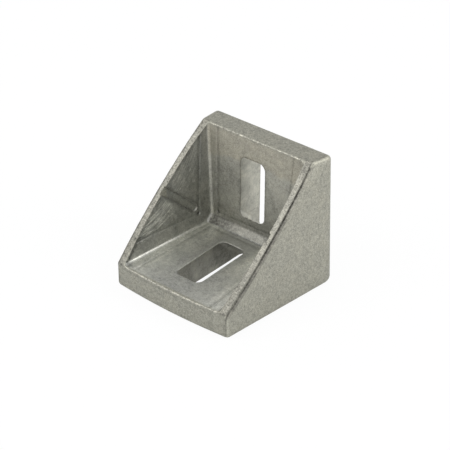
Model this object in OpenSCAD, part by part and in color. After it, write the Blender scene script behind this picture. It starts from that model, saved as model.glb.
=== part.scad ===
// Corner bracket for slotted framing: one die casting with a base leg, a back leg
// and two triangular gussets. Both legs have one slot for a bolt and a sliding nut.
// Millimetres. +Z is up, the back leg stands at +Y, the open side faces -Y.
// The origin is at the middle of the bottom of the casting's box.

/* [Overall] */
// Depth of the base leg from its crowned front to the back face
depth = 42.2; // [37:0.1:60]
// Height of the back leg
height = 37; // [33:0.1:55]
// Width across the front edge of the bottom face
front_width = 39; // [37:0.1:46]
// Width across the corner where the bottom meets the back
root_width = 45.2; // [41:0.1:50]
// Width across the back edge of the top face
top_width = 39.5; // [37:0.1:46]
// Fall of the top face towards the back
top_fall = 0.4; // [0:0.05:1]

/* [Rim] */
// Height of the front face up to the sloping rim
lip_height = 7.2; // [6:0.1:9]
// Depth of the top face back from the sloping rim
top_depth = 7.3; // [6:0.1:9]
// Width of the rim at its lower end
rim_low_width = 39; // [37:0.1:46]
// Width of the rim at its upper end
rim_high_width = 38.3; // [37:0.1:46]
// How far each gusset's rim bows outwards at mid length
rim_crown = 0.85; // [0:0.05:2]
// How far the front face bows forwards at mid width
front_crown = 0.85; // [0:0.05:2]
// Width of the ledge along the outer edge of the rim
ledge_width = 0.75; // [0.3:0.05:1.2]
// Drop of that ledge below the rim
ledge_drop = 0.6; // [0.2:0.05:1]

/* [Walls] */
// Thickness of the base leg at the front
base_thickness = 7.2; // [5:0.1:8]
// Thickness that the base leg gains towards the root
base_draft = 1.3; // [0:0.1:3]
// Thickness of the back leg at the top
back_thickness = 7.7; // [5:0.1:9]
// Thickness that the back leg gains towards the root
back_draft = 2.2; // [0:0.1:3]
// Thickness of a gusset at the lower end of its rim
gusset_low = 2.7; // [2:0.1:4]
// Thickness of a gusset at the middle of its rim
gusset_mid = 2.4; // [2:0.05:4]
// Thickness of a gusset at the upper end of its rim
gusset_high = 2.5; // [2:0.1:4]
// Thickness of a gusset at the root
gusset_root = 8.8; // [5:0.1:10]

/* [Slots] */
// Width of both slots, clear for the bolt
slot_width = 8.4; // [6:0.1:10]
// Length of the base leg's slot on the inside
base_slot_length = 19.2; // [12:0.1:22]
// Distance from the front face to the base leg's slot
base_slot_edge = 7.1; // [5:0.1:9]
// Length of the back leg's slot on the inside
back_slot_length = 17.4; // [12:0.1:20]
// Distance from the top face to the back leg's slot
back_slot_edge = 6.3; // [5:0.1:9]
// Corner radius of both slots
slot_radius = 1.8; // [0.5:0.1:2.5]
// Slope of the slots' root ends and of the clip channels, the way the die opens
pull_angle = 42; // [35:1:55]

/* [Edges] */
// Radius of the outside edges
edge_radius = 1.2; // [0.5:0.05:1.2]
// Radius of the two upright corners at the front, seen from above
front_corner_radius = 1.4; // [1.2:0.1:4]
// Radius of the two upright corners at the top of the back, seen from above
top_corner_radius = 1.3; // [1.2:0.1:4]
// Radius of the two upright corners at the root, seen from above
root_corner_radius = 4.3; // [2:0.1:6]
// Radius of the fillets in the pocket
fillet_radius = 1; // [0.5:0.05:1.5]
// Leg of the sloping band between the two legs in the pocket
root_band = 1.3; // [0.5:0.1:3]

/* [Clip channels] */
// Width of the channel inside each gusset
channel_width = 2.8; // [2:0.1:5]
// Width of the channel where its round end starts
channel_end_width = 2.2; // [1:0.1:4]
// Depth of the channel at the rim
channel_depth = 0.5; // [0.2:0.05:0.8]
// Length of the channel from the rim inwards
channel_length = 14; // [8:0.5:16]

/* [Hidden] */
$fn = 32;
fine = 256;
past = 4;
thin = 0.01;
stations = 8;

front_y = -depth / 2;
back_y = depth / 2;
face_y = front_y + front_crown;
rim_low = [face_y, lip_height];
rim_high = [back_y - top_depth, height];
rim_run = norm(rim_high - rim_low);
rim_angle = atan2(rim_high.y - rim_low.y, rim_high.x - rim_low.x);

// Corners of the side view as [y, z], with the width and the upright corners' radius at each
outline = [[face_y, 0], rim_low, rim_high, [back_y, height - top_fall], [back_y, 0]];
outline_width = [front_width, rim_low_width, rim_high_width, top_width, root_width];
outline_corner = [
    front_corner_radius, front_corner_radius, front_corner_radius, top_corner_radius, root_corner_radius
];

function unit(v) = v / norm(v);
function right_of(v) = [v.y, -v.x];
function arch(t) = 4 * t * (1 - t);

// Centre of a ball of the edge radius that touches both edges at corner i of the side view
function corner(i) =
    let (
        n = len(outline),
        c = outline[i],
        a = right_of(unit(c - outline[(i + n - 1) % n])),
        b = right_of(unit(outline[(i + 1) % n] - c))
    )
    c + edge_radius * (a + b) / (1 + a * b);

// The same for the middle of a button, which is wider than a ball by its upright corner
function button_yz(i) = corner(i) + [i < 3 ? 1 : -1, 0] * (outline_corner[i] - edge_radius);

// Inside faces of the two legs
function floor_z(y) = base_thickness + base_draft * (y - face_y) / (back_y - face_y);
function wall_y(z) = back_y - back_thickness - back_draft * (height - z) / height;

// How far a point [y, z] of the side view lies below the rim
function below_rim(p) = (rim_low - p) * [-sin(rim_angle), cos(rim_angle)];

// Half widths between the gussets
low_x = rim_low_width / 2 - gusset_low;
high_x = rim_high_width / 2 - gusset_high;
mid_x = (rim_low_width + rim_high_width) / 4 + rim_crown - gusset_mid;
root_x = root_width / 2 - gusset_root;

// Ball centres at the two edges of the band in the root of the pocket
root_z = floor_z(back_y - back_thickness - back_draft);
root_y = wall_y(root_z);
band_low = [root_y - root_band - fillet_radius, floor_z(root_y - root_band) + fillet_radius];
band_high = [wall_y(root_z + root_band) - fillet_radius, root_z + root_band + fillet_radius];

// How fast the space between the gussets widens, away from the root
low_slope = (low_x - root_x) / (band_low.x - rim_low.x);
high_slope = (high_x - root_x) / (rim_high.y - band_high.y);
mid_slope = (mid_x - root_x) / below_rim((band_low + band_high) / 2);

// Disc of radius wide with a rounded rim of radius r, a ball when the two are equal
module button(wide, r) {
    step = 360 / $fn;
    rim = [for (a = [-90:step:90]) [wide - r, 0] + r * [cos(a), sin(a)]];
    rotate_extrude() polygon(concat([[0, -r]], rim, [[0, r]]));
}

module ball(r) {
    button(r, r);
}

module ball_pair(x, yz, r) {
    for (side = [-1, 1]) translate([side * x, yz.x, yz.y]) ball(r);
}

// Turns a shape drawn as [along the rim, across, out of the rim] into place
module on_rim() {
    translate([0, rim_low.x, rim_low.y]) rotate([rim_angle, 0, 0]) rotate([0, 0, 90]) children();
}

// Solid outside form: rounded edges, drafted sides, crowned front and rims
module blank() {
    hull() {
        for (i = [0:len(outline) - 1], side = [-1, 1]) {
            x = side * (outline_width[i] / 2 - outline_corner[i]);
            translate([x, button_yz(i).x, button_yz(i).y]) button(outline_corner[i], edge_radius);
        }
        for (k = [1:stations - 1]) {
            t = k / stations;
            width = rim_low_width + (rim_high_width - rim_low_width) * t;
            centre = corner(1) + (corner(2) - corner(1)) * t;
            ball_pair(width / 2 + rim_crown * arch(t) - edge_radius, centre, edge_radius);
        }
        for (i = [0, 1], k = [1:stations - 1]) {
            t = k / stations;
            reach = outline_width[i] / 2 - front_corner_radius;
            translate([reach * (2 * t - 1), button_yz(i).x - front_crown * arch(t), corner(i).y])
                button(front_corner_radius, edge_radius);
        }
    }
}

// Space between the gussets, drafted and filleted, open past the rim and both legs
module pocket() {
    r = fillet_radius;
    hull() {
        ball_pair(root_x - r, band_low, r);
        ball_pair(root_x - r, band_high, r);
        ball_pair(low_x - r + past * low_slope, [rim_low.x - past, floor_z(rim_low.x - past) + r], r);
        ball_pair(high_x - r + past * high_slope, [wall_y(rim_high.y + past) - r, rim_high.y + past], r);
        for (k = [1:stations - 1]) {
            t = k / stations;
            end_x = low_x + (high_x - low_x) * t;
            x = end_x + (mid_x - (low_x + high_x) / 2) * arch(t);
            at = rim_low + (rim_high - rim_low) * t + past * [-sin(rim_angle), cos(rim_angle)];
            ball_pair(x - r + past * mid_slope, at, r);
        }
    }
}

// One long side of the rim's raised strip, bowed like the gusset, as a flat shape
module strip_outline() {
    half = (rim_low_width + rim_high_width) / 4 - ledge_width;
    lean = atan2((rim_low_width - rim_high_width) / 2, rim_run);
    bow = max(rim_crown, 0.01);
    big = (rim_run * rim_run / 4 + bow * bow) / (2 * bow);
    intersection_for (side = [-1, 1]) {
        translate([rim_run / 2, side * (half + bow - big)])
            rotate(side * lean) circle(big, $fn = fine);
    }
}

// What is cut off outside the raised strip of each rim
module rim_ledges() {
    on_rim() translate([0, 0, -ledge_drop]) linear_extrude(ledge_drop + past) difference() {
        translate([-past * 2, -root_width]) square([rim_run + past * 4, root_width * 2]);
        strip_outline();
    }
}

// Turns a shape so that its -Z runs outwards through the legs, the way the die opens
module along_pull(yz) {
    translate([0, yz.x, yz.y]) rotate([90 - pull_angle, 0, 0]) children();
}

// Slot drawn from its far end at the origin, with the root towards +Y and the leg's thickness
// along +Z. Its root end moves by run for each step outwards.
module slot(length, leg, run) {
    reach = slot_width / 2 - slot_radius;
    hull() {
        for (side = [-1, 1], z = [-past, leg + past]) {
            translate([side * reach, slot_radius, z]) cylinder(thin, r = slot_radius);
            translate([side * reach, length - slot_radius + z * run, z]) cylinder(thin, r = slot_radius);
        }
    }
}

module base_slot() {
    start = front_y + base_slot_edge;
    leg = floor_z(start + base_slot_length);
    translate([0, start, leg]) rotate([0, 180, 0]) slot(base_slot_length, leg, 1 / tan(pull_angle));
}

module back_slot() {
    start = height - back_slot_edge;
    inside = wall_y(start - back_slot_length);
    translate([0, inside, start]) rotate([-90, 0, 0])
        slot(back_slot_length, back_y - inside, tan(pull_angle));
}

// Shallow round-ended channel down the inside of each gusset from mid rim
module clip_channels() {
    end_radius = channel_end_width / 2;
    far = channel_length - end_radius;
    for (side = [0, 1]) mirror([side, 0, 0]) along_pull((rim_low + rim_high) / 2)
        translate([mid_x + channel_depth, 0, 0]) rotate([0, atan(mid_slope), 0])
        rotate([90, 0, -90]) linear_extrude(channel_depth + end_radius) {
            polygon([
                [-channel_width / 2, past], [channel_width / 2, past],
                [end_radius, -far], [-end_radius, -far]
            ]);
            translate([0, -far]) circle(end_radius);
        }
}

module corner_bracket() {
    color([0.62, 0.62, 0.59]) difference() {
        blank();
        pocket();
        rim_ledges();
        clip_channels();
        base_slot();
        back_slot();
    }
}

corner_bracket();
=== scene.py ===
"""Look of a die-cast corner bracket for slotted framing: tumbled skin, a smoother pocket and flash, with
painted light and shade.
"""
from __future__ import annotations

import logging
import math
from dataclasses import dataclass
from enum import Enum

import bpy
import bmesh
import numpy as np
from mathutils import Matrix, Vector

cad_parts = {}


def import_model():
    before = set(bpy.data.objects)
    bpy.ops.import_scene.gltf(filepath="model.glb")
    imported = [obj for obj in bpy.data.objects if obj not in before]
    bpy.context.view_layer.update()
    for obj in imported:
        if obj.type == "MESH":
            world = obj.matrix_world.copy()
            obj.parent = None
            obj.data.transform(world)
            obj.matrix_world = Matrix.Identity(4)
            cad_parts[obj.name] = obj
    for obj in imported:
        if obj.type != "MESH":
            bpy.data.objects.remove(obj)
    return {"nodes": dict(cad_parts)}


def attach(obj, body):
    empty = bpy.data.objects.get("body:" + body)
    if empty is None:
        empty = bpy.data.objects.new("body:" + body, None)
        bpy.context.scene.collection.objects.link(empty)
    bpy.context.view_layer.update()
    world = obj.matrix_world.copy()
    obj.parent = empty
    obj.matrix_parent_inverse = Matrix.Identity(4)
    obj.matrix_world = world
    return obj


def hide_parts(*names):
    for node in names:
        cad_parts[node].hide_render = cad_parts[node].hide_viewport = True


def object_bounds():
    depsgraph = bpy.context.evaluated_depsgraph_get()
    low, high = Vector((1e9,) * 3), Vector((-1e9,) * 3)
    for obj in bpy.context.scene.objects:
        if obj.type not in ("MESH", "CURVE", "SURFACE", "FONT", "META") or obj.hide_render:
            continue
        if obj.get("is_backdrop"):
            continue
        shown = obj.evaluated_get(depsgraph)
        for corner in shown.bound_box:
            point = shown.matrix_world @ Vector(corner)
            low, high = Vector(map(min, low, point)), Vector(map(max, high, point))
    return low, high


LOG = logging.getLogger("corner_bracket")
MM = 0.001
NODE = "corner_bracket"
BODY = "root"

Vec = tuple[float, float, float]
Colour = tuple[float, float, float, float]
Ramp = tuple[float, float, float, float]

NOISE_MIDDLE = 0.5
TINY = 1e-9
MIX_COLOURS = (6, 7)
MIXED_COLOUR = 2
WHITE: Colour = (1.0, 1.0, 1.0, 1.0)
BLACK: Colour = (0.0, 0.0, 0.0, 1.0)
GREY: Colour = (0.3, 0.3, 0.3, 1.0)


@dataclass(frozen=True)
class Fade:
    """Smooth rise from 0 at start to a strength at end, which may be less than start."""

    start: float
    end: float
    strength: float = 1.0

    def __call__(self, values: np.ndarray) -> np.ndarray:
        """Maps values to strengths."""
        t = np.clip((values - self.start) / (self.end - self.start), 0.0, 1.0)
        return t * t * (3.0 - 2.0 * t) * self.strength


@dataclass(frozen=True)
class Line:
    """Soft line where a distance is nought, given by its half width and strength."""

    width: float
    strength: float = 1.0

    def __call__(self, distance: np.ndarray) -> np.ndarray:
        """Maps distances to strengths."""
        return np.exp(-(distance / self.width) ** 2) * self.strength


@dataclass(frozen=True)
class BracketSizes:
    """Sizes of the casting in millimetres, as its CAD source gives them."""

    depth: float = 42.2
    height: float = 37.0
    front_crown: float = 0.85
    lip_height: float = 7.2
    top_depth: float = 7.3
    rim_low_half: float = 19.5
    rim_high_half: float = 19.15
    rim_crown: float = 0.85
    base_thickness: float = 7.2
    base_draft: float = 1.3
    back_thickness: float = 7.7
    back_draft: float = 2.2
    gusset_low: float = 2.7
    gusset_mid: float = 2.4
    gusset_high: float = 2.5
    root_inner_half: float = 13.8
    root_z: float = 8.19
    ledge_width: float = 0.75
    slot_half: float = 4.2
    least_arch: float = 0.25

    @property
    def face_y(self) -> float:
        """The flat front plane that the crown bows out from."""
        return self.front_crown - self.depth / 2

    @property
    def back_y(self) -> float:
        """The outer face of the back leg."""
        return self.depth / 2

    @property
    def rim_low(self) -> np.ndarray:
        """Lower end of the rim in the side view."""
        return np.array([self.face_y, self.lip_height])

    @property
    def rim_high(self) -> np.ndarray:
        """Upper end of the rim in the side view."""
        return np.array([self.back_y - self.top_depth, self.height])

    @property
    def rim_slope(self) -> np.ndarray:
        """Direction up the rim in the side view."""
        run = self.rim_high - self.rim_low
        return run / np.linalg.norm(run)

    def floor_z(self, y: np.ndarray) -> np.ndarray:
        """Inside face of the base leg at depth y."""
        return self.base_thickness + self.base_draft * (y - self.face_y) / (self.back_y - self.face_y)

    def wall_y(self, z: np.ndarray) -> np.ndarray:
        """Inside face of the back leg at height z."""
        return self.back_y - self.back_thickness - self.back_draft * (self.height - z) / self.height

    def below_rim(self, y: np.ndarray, z: np.ndarray) -> np.ndarray:
        """Distance under the plane of the two rims, positive inside the casting."""
        run = self.rim_slope
        return (y - self.rim_low[0]) * run[1] - (z - self.rim_low[1]) * run[0]

    def along_rim(self, y: np.ndarray, z: np.ndarray) -> np.ndarray:
        """Share of the way up the rim, 0 at its lower end.

        Args:
            y: Depths.
            z: Heights.

        Returns:
            Shares from 0 to 1.
        """
        run = self.rim_slope
        length = np.linalg.norm(self.rim_high - self.rim_low)
        return np.clip(((y - self.rim_low[0]) * run[0] + (z - self.rim_low[1]) * run[1]) / length, 0, 1)

    def inner_half(self, y: np.ndarray, z: np.ndarray) -> np.ndarray:
        """Half width between the gussets at a place in the side view.

        Args:
            y: Depths.
            z: Heights.

        Returns:
            Half widths in millimetres.
        """
        t = self.along_rim(y, z)
        low, high = self.rim_low_half - self.gusset_low, self.rim_high_half - self.gusset_high
        mid = (self.rim_low_half + self.rim_high_half) / 2 + self.rim_crown - self.gusset_mid
        top = low + (high - low) * t + (mid - (low + high) / 2) * 4 * t * (1 - t)
        root = self.below_rim(self.wall_y(np.array(self.root_z)), np.array(self.root_z))
        share = np.clip(self.below_rim(y, z) / root / np.maximum(4 * t * (1 - t), self.least_arch), 0, 1)
        return top + (self.root_inner_half - top) * share

    def strip_half(self, y: np.ndarray, z: np.ndarray) -> np.ndarray:
        """Half width across the raised strips' outer edges at a place along the rim.

        Args:
            y: Depths.
            z: Heights.

        Returns:
            Half widths in millimetres.
        """
        t = self.along_rim(y, z)
        straight = self.rim_low_half + (self.rim_high_half - self.rim_low_half) * t
        return straight + self.rim_crown * 4 * t * (1 - t) - self.ledge_width


@dataclass(frozen=True)
class CastFinish:
    """One finish of the cast aluminium, mixed over the part by a mask."""

    colour: Colour
    roughness: float
    mottle: float
    grain_scale: float
    grain_height: float
    stain: float


class Finish(Enum):
    """The finishes that tumbling and the die leave on the casting, and the ledges' dark finish, which is
    painted shade.
    """

    TUMBLED = CastFinish((0.343, 0.339, 0.292, 1.0), 0.56, 0.36, 3500.0, 0.90, 0.08)
    POCKET = CastFinish((0.377, 0.380, 0.355, 1.0), 0.46, 0.34, 3100.0, 0.45, 0.25)
    RIM = CastFinish((0.312, 0.305, 0.267, 1.0), 0.52, 0.60, 2900.0, 1.30, 0.08)
    # Dark ledge colour: painted shade along the step beside each rim strip.
    LEDGE_SHADE = CastFinish((0.205, 0.201, 0.177, 1.0), 0.60, 0.60, 2800.0, 0.80, 0.25)
    SLOT = CastFinish((0.412, 0.408, 0.360, 1.0), 0.50, 0.34, 2400.0, 0.45, 0.50)


@dataclass(frozen=True)
class CameraRig:
    """Camera at the photograph's angle, from the fitted view, in degrees, pixels and millimetres."""

    focal_px: float = 1614.0
    frame_px: float = 450.0
    azimuth: float = 40.38
    elevation: float = 31.79
    roll: float = 0.3515
    distance: float = 423.8
    offset_right: float = -2.022
    offset_up: float = -1.129
    target: Vec = (0.0, -1.75, 16.65)
    sensor: float = 36.0
    clip: tuple[float, float] = (0.01, 10.0)

    def build(self) -> bpy.types.Object:
        """Makes the camera and sets it as the scene's own.

        Returns:
            The camera.
        """
        a, e, r = (math.radians(v) for v in (self.azimuth, self.elevation, self.roll))
        back = Vector((math.sin(a) * math.cos(e), -math.cos(a) * math.cos(e), math.sin(e)))
        right = Vector((math.cos(a), math.sin(a), 0.0))
        up = back.cross(right)
        turned_right = right * math.cos(r) + up * math.sin(r)
        turned_up = up * math.cos(r) - right * math.sin(r)
        place = Vector(self.target) + back * self.distance
        place -= turned_right * self.offset_right + turned_up * self.offset_up
        data = bpy.data.cameras.new("view")
        data.sensor_width = self.sensor
        data.lens = self.focal_px / self.frame_px * self.sensor
        data.clip_start, data.clip_end = self.clip
        camera = bpy.data.objects.new("view", data)
        turn = Matrix((turned_right, turned_up, back)).transposed().to_4x4()
        camera.matrix_world = Matrix.Translation(place * MM) @ turn
        bpy.context.scene.collection.objects.link(camera)
        bpy.context.scene.camera = camera
        return camera


@dataclass(frozen=True)
class NodeTree:
    """Small helper to lay out nodes."""

    tree: bpy.types.NodeTree

    def add(self, kind: str, values: dict | None = None, **props: object) -> bpy.types.Node:
        """Adds one node.

        Args:
            kind: The node's type name without its ShaderNode prefix, or a full type name.
            values: Input values by name or index.
            **props: Properties of the node.

        Returns:
            The new node.
        """
        full = kind if kind.startswith(("Node", "Geometry", "Function")) else "ShaderNode" + kind
        node = self.tree.nodes.new(full)
        for key, value in props.items():
            setattr(node, key, value)
        for key, value in (values or {}).items():
            if isinstance(value, bpy.types.NodeSocket):
                self.tree.links.new(value, node.inputs[key])
            else:
                node.inputs[key].default_value = value
        return node

    def link(self, sockets: bpy.types.NodeInputs, values: dict[str, bpy.types.NodeSocket]) -> None:
        """Links results to a node's inputs by name."""
        for name, value in values.items():
            self.tree.links.new(value, sockets[name])

    def math(self, op: str, a: object, b: object = 0.0, clamp: bool = False) -> bpy.types.NodeSocket:
        """One maths node.

        Args:
            op: The operation's name.
            a: First value or socket.
            b: Second value or socket.
            clamp: Whether the result is held between 0 and 1.

        Returns:
            The result's socket.
        """
        return self.add("Math", {0: a, 1: b}, operation=op, use_clamp=clamp).outputs[0]

    def plus(self, a: object, b: object) -> bpy.types.NodeSocket:
        """Adds two values."""
        return self.math("ADD", a, b)

    def minus(self, a: object, b: object) -> bpy.types.NodeSocket:
        """Takes the second value from the first."""
        return self.math("SUBTRACT", a, b)

    def times(self, a: object, b: object) -> bpy.types.NodeSocket:
        """Multiplies two values."""
        return self.math("MULTIPLY", a, b)

    def scaled(self, vector: object, factor: object) -> bpy.types.NodeSocket:
        """Scales a vector or a colour."""
        return self.add("VectorMath", {0: vector, "Scale": factor}, operation="SCALE").outputs[0]

    def away(self, vector: object, origin: object) -> bpy.types.NodeSocket:
        """Takes one vector from another."""
        return self.add("VectorMath", {0: vector, 1: origin}, operation="SUBTRACT").outputs[0]

    def noise(self, vector: object, scale: object, detail: float, **more: object) -> bpy.types.Node:
        """Adds one noise texture, in four dimensions where W is given.

        Args:
            vector: Pattern coordinates.
            scale: Scale or its socket.
            detail: Levels of detail.
            **more: Further inputs by name.

        Returns:
            The new node.
        """
        values = {"Vector": vector, "Scale": scale, "Detail": detail, **more}
        return self.add("TexNoise", values, noise_dimensions="4D" if "W" in more else "3D")

    def mix(self, factor: object, a: object, b: object, blend: str = "MIX") -> bpy.types.NodeSocket:
        """Mixes two colours.

        Args:
            factor: Share of the second colour.
            a: First colour.
            b: Second colour.
            blend: Blend mode.

        Returns:
            The mixed colour's socket.
        """
        values = {0: factor, **dict(zip(MIX_COLOURS, (a, b)))}
        return self.add("Mix", values, data_type="RGBA", blend_type=blend).outputs[MIXED_COLOUR]

    def tint(self, factor: object, colour: object, gain: Colour) -> bpy.types.NodeSocket:
        """Multiplies a colour by a gain where the factor is 1."""
        return self.mix(factor, colour, gain, "MULTIPLY")

    def blend(self, factor: object, a: object, b: object) -> bpy.types.NodeSocket:
        """Mixes two numbers."""
        return self.add("Mix", {"Factor": factor, "A": a, "B": b}, data_type="FLOAT").outputs[0]

    def ramp(self, value: object, low: object, high: object, out_low: float = 0.0, out_high: float = 1.0
             ) -> bpy.types.NodeSocket:
        """Maps a range smoothly.

        Args:
            value: Value or socket to map.
            low: Start of the input range.
            high: End of the input range.
            out_low: Result at the start.
            out_high: Result at the end.

        Returns:
            The mapped value's socket.
        """
        values = {"Value": value, "From Min": low, "From Max": high, "To Min": out_low, "To Max": out_high}
        return self.add("MapRange", values, interpolation_type="SMOOTHSTEP").outputs[0]


def new_group(kind: str, name: str, inputs: dict[str, tuple[str, object]], outputs: dict[str, str]
              ) -> tuple[NodeTree, bpy.types.NodeOutputs, bpy.types.NodeInputs]:
    """Starts a node group with named sockets.

    Args:
        kind: Type of the tree.
        name: Group name.
        inputs: Socket kind and default for each input.
        outputs: Socket kind for each output.

    Returns:
        The tree's helper, the sockets that values come from and those that results go to.
    """
    tree = bpy.data.node_groups.new(name, kind)
    for label, (socket_kind, default) in inputs.items():
        socket = tree.interface.new_socket(label, in_out="INPUT", socket_type="NodeSocket" + socket_kind)
        if default is not None:
            socket.default_value = default
    for label, socket_kind in outputs.items():
        tree.interface.new_socket(label, in_out="OUTPUT", socket_type="NodeSocket" + socket_kind)
    n = NodeTree(tree)
    return n, n.add("NodeGroupInput").outputs, n.add("NodeGroupOutput").inputs


@dataclass(frozen=True)
class GrainGroup:
    """Cast and tumbled grain: a tone that varies over the surface, a roughness and a height."""

    cloud_scale: float = 0.37
    wide_scale: float = 0.09
    wide_distortion: float = 0.6
    fine_tone: float = 0.60
    cloud_tone: float = 0.40
    tone_swing: float = 8.0
    darkest: float = 0.25
    warm: Ramp = (0.40, 0.65, 0.0, 0.25)
    warm_tint: Colour = (1.03, 1.0, 0.95, 1.0)
    rough_swing: float = 0.3
    fine_height: float = 0.6

    def build(self) -> bpy.types.NodeTree:
        """Builds the group.

        Returns:
            The group.
        """
        inputs = {"Vector": ("Vector", None), "Scale": ("Float", 2500.0), "Colour": ("Color", GREY),
                  "Mottle": ("Float", 0.15), "Roughness": ("Float", 0.5), "Height": ("Float", 0.5),
                  "Stain": ("Float", 0.2)}
        outputs = {"Colour": "Color", "Roughness": "Float", "Height": "Float"}
        n, inp, out = new_group("ShaderNodeTree", "cast_grain", inputs, outputs)
        place, scale = inp["Vector"], inp["Scale"]
        fine = n.noise(place, scale, detail=3.0, Roughness=0.7).outputs[0]
        cloud = n.noise(place, n.times(scale, self.cloud_scale), detail=4.0, Roughness=0.6).outputs[0]
        wide = n.noise(place, n.times(scale, self.wide_scale), detail=4.0, Roughness=0.62,
                       Distortion=self.wide_distortion).outputs[0]
        grey = n.plus(n.times(fine, self.fine_tone), n.times(cloud, self.cloud_tone))
        grey = n.blend(inp["Stain"], grey, wide)
        swing = n.times(n.minus(grey, NOISE_MIDDLE), n.times(inp["Mottle"], self.tone_swing))
        toned = n.scaled(inp["Colour"], n.math("MAXIMUM", n.plus(swing, 1.0), self.darkest))
        rough = n.plus(inp["Roughness"], n.times(n.minus(cloud, NOISE_MIDDLE), self.rough_swing))
        height = n.times(n.plus(n.times(fine, self.fine_height), cloud), inp["Height"])
        colour = n.tint(n.ramp(wide, *self.warm), toned, self.warm_tint)
        n.link(out, {"Colour": colour, "Roughness": rough, "Height": height})
        return n.tree


@dataclass(frozen=True)
class WearAndShadeGroup:
    """Brighter edges, partly wear and partly painted highlight, and painted shade in hollows, both broken up
    by noise.
    """

    chip_scale: float = 1300.0
    chips_on_edge: Ramp = (0.38, 0.62, 0.0, 1.2)
    chips_in_hollow: Ramp = (0.35, 0.65, 1.25, 0.75)

    def build(self) -> bpy.types.NodeTree:
        """Builds the group.

        Returns:
            The group.
        """
        inputs = {"Vector": ("Vector", None), "Colour": ("Color", GREY), "Edge": ("Float", 0.0),
                  "Painted Shade": ("Float", 0.0), "Brighten": ("Float", 0.5), "Darken": ("Float", 0.5)}
        n, inp, out = new_group("ShaderNodeTree", "wear_and_painted_light", inputs, {"Colour": "Color", "Edge": "Float"})
        chips = n.noise(inp["Vector"], self.chip_scale, detail=4.0, Roughness=0.65).outputs[0]
        # Edge brightening: partly wear, partly painted highlight.
        edge = n.math("MULTIPLY", inp["Edge"], n.ramp(chips, *self.chips_on_edge), clamp=True)
        gain = n.plus(n.times(edge, inp["Brighten"]), 1.0)
        # Painted shade, broken up by noise.
        patchy = n.times(inp["Painted Shade"], n.ramp(chips, *self.chips_in_hollow))
        loss = n.minus(1.0, n.math("MULTIPLY", patchy, inp["Darken"], clamp=True))
        n.link(out, {"Colour": n.scaled(inp["Colour"], n.times(gain, loss)), "Edge": edge})
        return n.tree


@dataclass(frozen=True)
class DragGroup:
    """Fine scratches that follow arcs about a point in the side view."""

    centre: Vec = (0.0, -0.0173, 0.0422)
    around: float = 3.5
    outward: float = 2900.0
    low: float = 0.45
    high: float = 0.60

    def build(self) -> bpy.types.NodeTree:
        """Builds the group.

        Returns:
            The group.
        """
        inputs = {"Vector": ("Vector", None), "Centre": ("Vector", self.centre),
                  "Around": ("Float", self.around), "Outward": ("Float", self.outward),
                  "Low": ("Float", self.low), "High": ("Float", self.high)}
        n, inp, out = new_group("ShaderNodeTree", "drag_marks", inputs, {"Mask": "Float"})
        parts = n.add("SeparateXYZ", {0: n.away(inp["Vector"], inp["Centre"])}).outputs
        angle = n.math("ARCTAN2", parts["Z"], parts["Y"])
        flat = n.add("CombineXYZ", {0: 0.0, 1: parts["Y"], 2: parts["Z"]}).outputs[0]
        reach = n.add("VectorMath", {0: flat}, operation="LENGTH").outputs["Value"]
        line = n.add("CombineXYZ", {0: n.times(angle, inp["Around"]), 1: n.times(reach, inp["Outward"]),
                                    2: parts["X"]}).outputs[0]
        marks = n.noise(line, 1.0, detail=3.0, Roughness=0.75).outputs[0]
        n.link(out, {"Mask": n.ramp(marks, inp["Low"], inp["High"])})
        return n.tree


@dataclass(frozen=True)
class LitAreaGroup:
    """Painted light: lit areas that start above a height, lower towards the sides, with an edge that wanders.
    """

    height: float = 0.03
    fall: float = 0.2
    wander: float = 0.006
    soft: float = 0.0009
    level_half: float = 0.006
    noise_scale: float = 140.0

    def build(self) -> bpy.types.NodeTree:
        """Builds the group.

        Returns:
            The group.
        """
        inputs = {"Vector": ("Vector", None), "Height": ("Float", self.height), "Fall": ("Float", self.fall),
                  "Wander": ("Float", self.wander), "Soft": ("Float", self.soft)}
        n, inp, out = new_group("ShaderNodeTree", "painted_lit_areas", inputs, {"Mask": "Float"})
        noise = n.noise(inp["Vector"], self.noise_scale, detail=2.0).outputs[0]
        parts = n.add("SeparateXYZ", {0: inp["Vector"]}).outputs
        level = n.plus(parts["Z"], n.times(n.minus(noise, NOISE_MIDDLE), inp["Wander"]))
        side = n.math("MAXIMUM", n.math("ABSOLUTE", parts["X"]), self.level_half)
        level = n.plus(level, n.times(n.minus(side, self.level_half), inp["Fall"]))
        above = n.math("DIVIDE", n.minus(level, inp["Height"]), inp["Soft"])
        n.link(out, {"Mask": n.ramp(above, -1.0, 1.0)})
        return n.tree


class ShaderGroups:
    """The effects that several finishes share."""

    def __init__(self) -> None:
        """Builds each group once."""
        self.grain = GrainGroup().build()
        self.wear_and_shade = WearAndShadeGroup().build()
        self.drag = DragGroup().build()
        self.pale = LitAreaGroup().build()


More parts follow.
